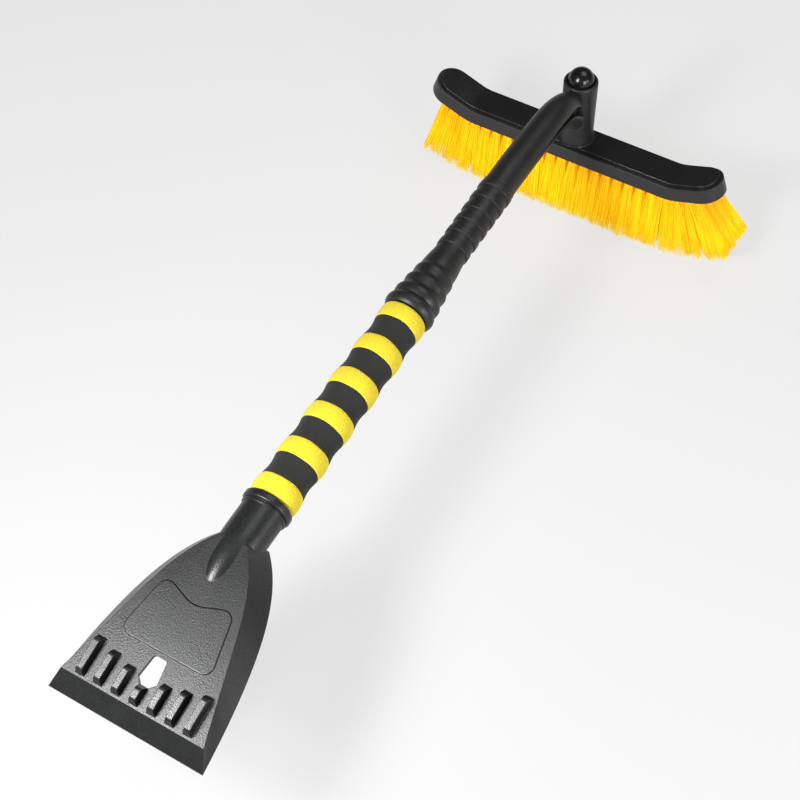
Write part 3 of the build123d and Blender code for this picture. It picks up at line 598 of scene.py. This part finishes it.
def strand_lines(tuft, shape, draw, wide, inner):
    """Centre lines of a tuft's strands, strands by stations by xyz.

    The tip spreads by wide along the brush.  An end tuft spreads that far to its inner side only.
    """
    straight_share, opening, bend = 0.08, 0.62, 2.2
    root_fill, outer_fill = 0.9, 0.85
    least_lock, lock_reach = 0.3, 0.6
    shortest, longest, stray = -1.0, 0.4, 0.5
    count, stations = shape.strands, 6
    spread = np.sqrt(draw.random(count))
    turn = draw.random(count) * tau
    u, v = spread * np.cos(turn), spread * np.sin(turn)
    lock_turn = draw.random(shape.locks) * tau
    lock_out = least_lock + lock_reach * draw.random(shape.locks)
    lock_u, lock_v = lock_out * np.cos(lock_turn), lock_out * np.sin(lock_turn)
    nearest = np.argmin((u[:, None] - lock_u) ** 2 + (v[:, None] - lock_v) ** 2, axis=1)
    pull = shape.gather * draw.random(count)
    tip_u = u + (lock_u[nearest] - u) * pull
    tip_v = (v + (lock_v[nearest] - v) * pull) * shape.flare
    half_along, half_across = tuft.tip_half
    spread_u = np.where(tip_u * inner < 0, outer_fill * half_along, wide)
    sway = draw.normal(0, stray, (count, 2)) + draw.normal(0, stray, 2)
    length = 1 + draw.uniform(shortest, longest, count) * shape.uneven / tuft.length
    root_half = root_fill * tuft.root_half
    points = []
    for share in np.linspace(0, 1, stations):
        s = length * share
        opened = np.clip((s - straight_share) / (1 - straight_share), 0, None) ** opening
        strayed = shape.sway * s ** bend
        side_a = root_half * u * (1 - opened) + spread_u * tip_u * opened + strayed * sway[:, 0]
        side_b = root_half * v * (1 - opened) + half_across * tip_v * opened + strayed * sway[:, 1]
        points.append(tuft.root + np.outer(s * tuft.length, tuft.direction)
                      + np.outer(side_a, tuft.along) + np.outer(side_b, tuft.across))
    return np.stack(points, axis=1)


def bristle_row(node, shape, material, draw):
    """A whole row of tufts as one mesh of three-sided strands."""
    sides, tip_share = 3, 0.6
    corners = np.linspace(0, tau, sides, endpoint=False)
    points = []
    tufts = [Tuft(raw) for raw in separate_tufts(node)]
    tips = np.array([tuft.tip for tuft in tufts])
    gaps = np.linalg.norm(np.diff(tips, axis=0), axis=1)
    gaps = (np.append(gaps, gaps[-1]) + np.insert(gaps, 0, gaps[0])) / 2
    inner_sides = [1] + [0] * (len(tufts) - 2) + [-1]
    for tuft, gap, inner in zip(tufts, gaps, inner_sides):
        wide = max(tuft.tip_half[0], gap * shape.overlap)
        lines = strand_lines(tuft, shape, draw, wide, inner)
        count, stations = lines.shape[:2]
        taper = np.linspace(1.0, tip_share, stations)
        angle = draw.random(count)[:, None] * tau + corners
        offset = np.cos(angle)[..., None] * tuft.along + np.sin(angle)[..., None] * tuft.across
        ring = lines[:, :, None, :] + offset[:, None] * (taper * shape.thickness / 2)[None, :, None, None]
        points.append(ring.reshape(-1, 3))
    points = np.concatenate(points)
    size = stations * sides
    pattern = np.array(ring_faces(stations, sides))
    starts = np.arange(0, len(points), size)
    faces = (starts[:, None, None] + pattern).reshape(-1, 4).tolist()
    caps = (starts[:, None] + np.arange(size - sides, size)).tolist()
    name = node.replace("bristle_", "bristles_")
    piece = mesh_piece(name, points, faces + caps, material)
    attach(piece, "brush_head")
    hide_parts(node)
    return piece


# ---------------------------------------------------------------------------------------
# Operators
# ---------------------------------------------------------------------------------------

class SNOW_OT_moulded_parts(bpy.types.Operator):
    """Gives the scraper head, brush handle, block, cover and button their moulded finishes"""
    bl_idname = "snow_tool.moulded_parts"
    bl_label = "Moulded parts"

    def execute(self, context):
        finish = context.scene.snow_moulded
        grain, depth, edge = finish.grain_size, finish.grain_depth, finish.edge_radius
        give("scraper_head", moulded_plastic(
            "Scraper plastic", finish.scraper_colour, roughness=0.34, pebble=grain, depth=depth,
            edge_radius=edge * 1.4, glint_speckle=0.65, edge_highlight=0.7, high=tooth_tops()))
        give("brush_handle", moulded_plastic(
            "Handle plastic", finish.handle_colour, roughness=0.44, pebble=grain, depth=depth * 0.7,
            edge_radius=edge * 1.2, glint_speckle=0.6, edge_highlight=1.0))
        give("brush_back", moulded_plastic(
            "Block plastic", finish.block_colour, roughness=0.42, pebble=grain, depth=depth * 0.9,
            edge_radius=edge * 1.8, glint_speckle=0.8, edge_highlight=0.9))
        give("brush_cover", moulded_plastic(
            "Cover plastic", finish.cover_colour, roughness=0.26, pebble=grain * 3.0, depth=depth * 0.4,
            edge_radius=edge * 2.0, edge_highlight=0.8))
        give("push_button", moulded_plastic(
            "Button plastic", finish.button_colour, roughness=0.27, pebble=grain * 4.0, depth=depth * 0.05,
            edge_radius=edge * 0.5))
        return {"FINISHED"}


class SNOW_OT_metal_and_inner(bpy.types.Operator):
    """Finishes the tube, the screws and springs, and the nylon pieces inside"""
    bl_idname = "snow_tool.metal_and_inner"
    bl_label = "Tube, steel and inner pieces"

    def execute(self, context):
        finish = context.scene.snow_metal
        steel = plated_steel("Zinc plated steel", finish.steel_colour)
        for node in ("head_screw", "snap_button", "snap_spring", "pivot_screw", "lock_spring"):
            give(node, steel)
        give("handle_tube", moulded_plastic(
            "Powder coat", finish.tube_colour, roughness=0.34, pebble=0.0007, depth=0.00005,
            edge_radius=0.0003, glint_speckle=0.15))
        nylon = moulded_plastic("Black nylon", finish.nylon_colour, roughness=0.5, pebble=0.0006,
                                depth=0.00004, edge_radius=0.0004)
        for node in ("tube_plug", "hex_spindle", "lock_gear"):
            give(node, nylon)
        return {"FINISHED"}


class SNOW_OT_foam_grip(bpy.types.Operator):
    """Builds the yellow and charcoal foam bands"""
    bl_idname = "snow_tool.foam_grip"
    bl_label = "Foam grip"

    def execute(self, context):
        finish = context.scene.snow_grip
        wave = GripWave()
        yellow = foam("Yellow foam", finish.yellow, finish.cell_size, pit_shade=0.80, cloud_shade=0.92)
        charcoal = foam("Charcoal foam", finish.charcoal, finish.cell_size, pit_shade=2.2, cloud_shade=1.3)
        for node in YELLOW_BANDS:
            piece = foam_band(node, wave, finish, yellow, node == YELLOW_BANDS[0], node == YELLOW_BANDS[-1])
        for node in BLACK_BANDS:
            foam_band(node, wave, finish, charcoal)
        return {"FINISHED"}


class SNOW_OT_bristles(bpy.types.Operator):
    """Builds the four rows of bristle tufts strand by strand"""
    bl_idname = "snow_tool.bristles"
    bl_label = "Bristles"

    def execute(self, context):
        shape = context.scene.snow_bristles
        draw = np.random.default_rng(shape.seed)
        first_row = separate_tufts(BRISTLE_ROWS[0])
        middle = Tuft(first_row[len(first_row) // 2])
        root_height = float(middle.root @ np.array(POST_UP))
        tip_height = float(middle.tip @ np.array(POST_UP))
        material = bristle_filament("Bristle filament", shape, root_height, tip_height)
        for node in BRISTLE_ROWS:
            bristle_row(node, shape, material, draw)
        return {"FINISHED"}


class SNOW_OT_studio(bpy.types.Operator):
    """Sets up the pale floor, the soft lights and the camera"""
    bl_idname = "snow_tool.studio"
    bl_label = "Studio"

    camera_place = Vector((-0.46651, -0.38831, 0.90833))
    camera_aim = Vector((0.02436, -0.03275, 0.0))
    camera_up = Vector((0.73125, 0.40068, 0.55202))
    tool_middle = Vector((0.08, 0.0, -0.02))
    floor_gap = 0.001
    white = (1.0, 1.0, 1.0, 1.0)

    def camera_axes(self):
        back = (self.camera_place - self.camera_aim).normalized()
        right = self.camera_up.cross(back).normalized()
        return right, back.cross(right), back

    def floor(self, setup):
        half = setup.floor_size / 2
        height = cad_box[0].z - self.floor_gap
        material, tree, shader = new_material("Floor paper", {"Roughness": 0.9, "Specular IOR Level": 0.1})
        grain = place_group(tree, "Mould grain", {"Pebble": 0.002, "Mottle size": 0.4})
        dim = scaled(setup.floor_colour, 0.985)
        tree.links.new(mix_colour(tree, grain.outputs["Mottle"], dim, setup.floor_colour),
                       shader.inputs["Base Color"])
        shader.inputs["Emission Color"].default_value = self.white
        shader.inputs["Emission Strength"].default_value = setup.floor_glow
        points = [(-half, -half, height), (half, -half, height), (half, half, height), (-half, half, height)]
        mesh_piece("floor", points, [(0, 1, 2, 3)], material)

    def softbox(self, name, place, aim, size, power):
        """A round soft light that shines at a point."""
        light = bpy.data.lights.new(name, "AREA")
        light.shape = "DISK"
        light.size = size
        light.energy = power
        lamp = bpy.data.objects.new(name, light)
        lamp.location = place
        lamp.rotation_euler = (place - aim).to_track_quat("Z", "Y").to_euler()
        bpy.context.scene.collection.objects.link(lamp)

    def from_camera(self, side, up, towards, distance):
        """A place that far from the tool, in the direction given in the camera's own axes."""
        right, upward, back = self.camera_axes()
        return self.tool_middle + (right * side + upward * up + back * towards).normalized() * distance

    def lights(self):
        """Three lights for the whole tool, one for the plate's sheen and one low beside the brush."""
        middle = self.tool_middle
        key = self.from_camera(-0.55, -0.05, 0.83, distance=1.7)
        side = self.from_camera(0.84, -0.2, 0.48, distance=1.7)
        top = self.from_camera(0.35, 0.75, 0.62, distance=1.9)
        blade, blade_aim = Vector((-0.405, 0.165, 0.43)), Vector((-0.23, -0.01, 0.0))
        brush, brush_aim = Vector((-0.25, -0.95, 0.28)), Vector((0.34, 0.0, -0.08))
        self.softbox("key_light", key, middle, size=0.46, power=20.0)
        self.softbox("side_light", side, middle, size=0.42, power=5.5)
        self.softbox("top_light", top, middle, size=1.2, power=12.0)
        self.softbox("blade_light", blade, blade_aim, size=0.20, power=5.6)
        self.softbox("brush_light", brush, brush_aim, size=0.40, power=8.0)

    def sky(self, scene, setup):
        world = bpy.data.worlds.new("Studio sky")
        world.use_nodes = True
        background = world.node_tree.nodes["Background"]
        background.inputs["Color"].default_value = self.white
        background.inputs["Strength"].default_value = setup.sky
        scene.world = world

    def camera(self, scene, setup):
        lens = bpy.data.cameras.new("camera")
        lens.lens = setup.lens
        lens.sensor_width = 36.0
        lens.clip_start = 0.01
        camera = bpy.data.objects.new("camera", lens)
        turned = Matrix(self.camera_axes()).transposed().to_4x4()
        camera.matrix_world = Matrix.Translation(self.camera_place) @ turned
        scene.collection.objects.link(camera)
        scene.camera = camera

    def execute(self, context):
        setup = context.scene.snow_studio
        self.floor(setup)
        self.lights()
        self.sky(context.scene, setup)
        self.camera(context.scene, setup)
        context.scene.view_settings.view_transform = "Standard"
        return {"FINISHED"}


class SNOW_PT_sidebar(bpy.types.Panel):
    """Lists the build steps and their settings"""
    bl_idname = "SNOW_PT_sidebar"
    bl_label = "Snow Tool"
    bl_space_type = "VIEW_3D"
    bl_region_type = "UI"
    bl_category = "Snow Tool"

    def draw(self, context):
        for operator, settings in STEPS:
            box = self.layout.box()
            box.operator(operator.bl_idname)
            group = getattr(context.scene, settings)
            for name in group.__annotations__:
                box.prop(group, name)


STEPS = [(SNOW_OT_moulded_parts, "snow_moulded"), (SNOW_OT_metal_and_inner, "snow_metal"),
         (SNOW_OT_foam_grip, "snow_grip"), (SNOW_OT_bristles, "snow_bristles"),
         (SNOW_OT_studio, "snow_studio")]
SETTINGS = [("snow_moulded", MouldedFinish), ("snow_metal", MetalFinish), ("snow_grip", GripFinish),
            ("snow_bristles", BristleShape), ("snow_studio", StudioSetup)]


def register():
    for name, kind in SETTINGS:
        bpy.utils.register_class(kind)
        setattr(bpy.types.Scene, name, PointerProperty(type=kind))
    for operator, _ in STEPS:
        bpy.utils.register_class(operator)
    bpy.utils.register_class(SNOW_PT_sidebar)


def unregister():
    bpy.utils.unregister_class(SNOW_PT_sidebar)
    for operator, _ in reversed(STEPS):
        bpy.utils.unregister_class(operator)
    for name, kind in reversed(SETTINGS):
        delattr(bpy.types.Scene, name)
        bpy.utils.unregister_class(kind)


def main():
    register()
    bpy.ops.snow_tool.moulded_parts()
    bpy.ops.snow_tool.metal_and_inner()
    bpy.ops.snow_tool.foam_grip()
    bpy.ops.snow_tool.bristles()
    bpy.ops.snow_tool.studio()


if __name__ == "__main__":
    main()
